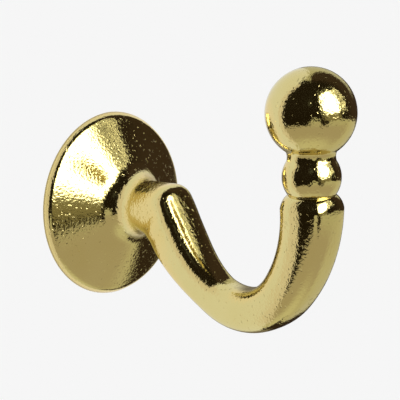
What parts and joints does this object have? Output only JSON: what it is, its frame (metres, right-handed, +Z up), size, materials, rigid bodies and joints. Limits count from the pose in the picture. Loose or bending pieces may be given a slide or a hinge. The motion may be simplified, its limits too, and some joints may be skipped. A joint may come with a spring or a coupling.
{
  "type": "curtain tieback hook",
  "caption": "Small cast wall hook for a curtain tieback: round cone-faced rose, squarish arm that drops, sweeps out and turns up, and a ball on a bead at the tip.",
  "frame": {"origin": "centre of the rose's flat wall face", "axes": "the wall is the plane y = 0 and +Y points into it; the hook stands out towards -Y; +Z is up, the way the ball points"},
  "size_m": [0.0344, 0.0557, 0.0467],
  "materials": {
    "brass_plate": "bright plated, slightly grained"
  },
  "bodies": {
    "root": {"tieback_hook": "brass_plate"}
  },
  "joints": []
}
